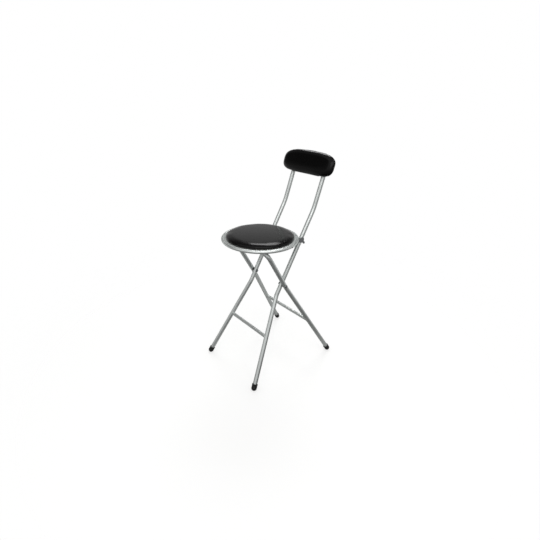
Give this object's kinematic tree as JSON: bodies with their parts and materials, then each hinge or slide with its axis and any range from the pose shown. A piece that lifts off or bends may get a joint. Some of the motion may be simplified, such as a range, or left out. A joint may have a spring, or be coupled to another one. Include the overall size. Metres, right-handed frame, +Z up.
{
  "type": "folding bar stool",
  "caption": "Folding bar stool with crossed bent-tube frames, a round padded seat on a pressed steel pan and a small padded back rest.",
  "frame": {"origin": "centre of the footprint, on the floor, with the stool open", "axes": "+Z up; +X across the stool, to the right of someone who faces its front; -Y towards the front, where the sitter's knees go"},
  "size_m": [0.379, 0.468, 0.8908],
  "materials": {
    "silver_paint": "metallic silver-grey powder coat, satin",
    "zinc_steel": "bright zinc plate",
    "black_vinyl": "black artificial leather, fine grain, semi-gloss",
    "black_rubber": "matt moulded rubber",
    "black_nylon": "moulded nylon",
    "plywood": "unfinished birch plywood"
  },
  "bodies": {
    "back_frame": {"back_tube_left": "silver_paint", "back_tube_right": "silver_paint", "footrest_bar": "silver_paint", "front_foot_left": "black_rubber", "front_foot_right": "black_rubber", "pivot_rivet_left": "zinc_steel", "pivot_rivet_right": "zinc_steel", "pivot_spacer_left": "black_nylon", "pivot_spacer_right": "black_nylon", "pivot_washer_left": "zinc_steel", "pivot_washer_right": "zinc_steel", "stop_rivet_left": "silver_paint", "stop_rivet_right": "silver_paint", "upright_plug_left": "black_nylon", "upright_plug_right": "black_nylon", "back_board": "plywood", "back_pad": "black_vinyl", "back_screw_1": "zinc_steel", "back_screw_2": "zinc_steel", "back_screw_3": "zinc_steel", "back_screw_4": "zinc_steel"},
    "rear_legs": {"rear_leg_frame": "silver_paint", "stretcher_bar": "silver_paint", "rear_foot_left": "black_rubber", "rear_foot_right": "black_rubber"},
    "seat": {"seat_pan": "silver_paint", "seat_board": "plywood", "seat_pad": "black_vinyl", "seat_clip_left": "zinc_steel", "seat_clip_right": "zinc_steel", "guide_ear_left": "zinc_steel", "guide_ear_right": "zinc_steel", "guide_pin_left": "zinc_steel", "guide_pin_right": "zinc_steel", "clip_screw_1": "zinc_steel", "clip_screw_2": "zinc_steel", "clip_screw_3": "zinc_steel", "clip_screw_4": "zinc_steel", "ear_screw_1": "zinc_steel", "ear_screw_2": "zinc_steel", "ear_screw_3": "zinc_steel", "ear_screw_4": "zinc_steel"}
  },
  "joints": [
    {"name": "leg_fold", "type": "hinge", "parent": "back_frame", "child": "rear_legs", "pos_m": [0, -0.01258, 0.39], "axis": [-1, 0, 0], "range_deg": [0, 54]},
    {"name": "seat_fold", "type": "hinge", "parent": "rear_legs", "child": "seat", "pos_m": [0, -0.10922, 0.5568], "axis": [1, 0, 0], "range_deg": [0, 108]}
  ],
  "couplings": [
    {"joint": "seat_fold", "follows": "leg_fold", "ratio": 2}
  ]
}
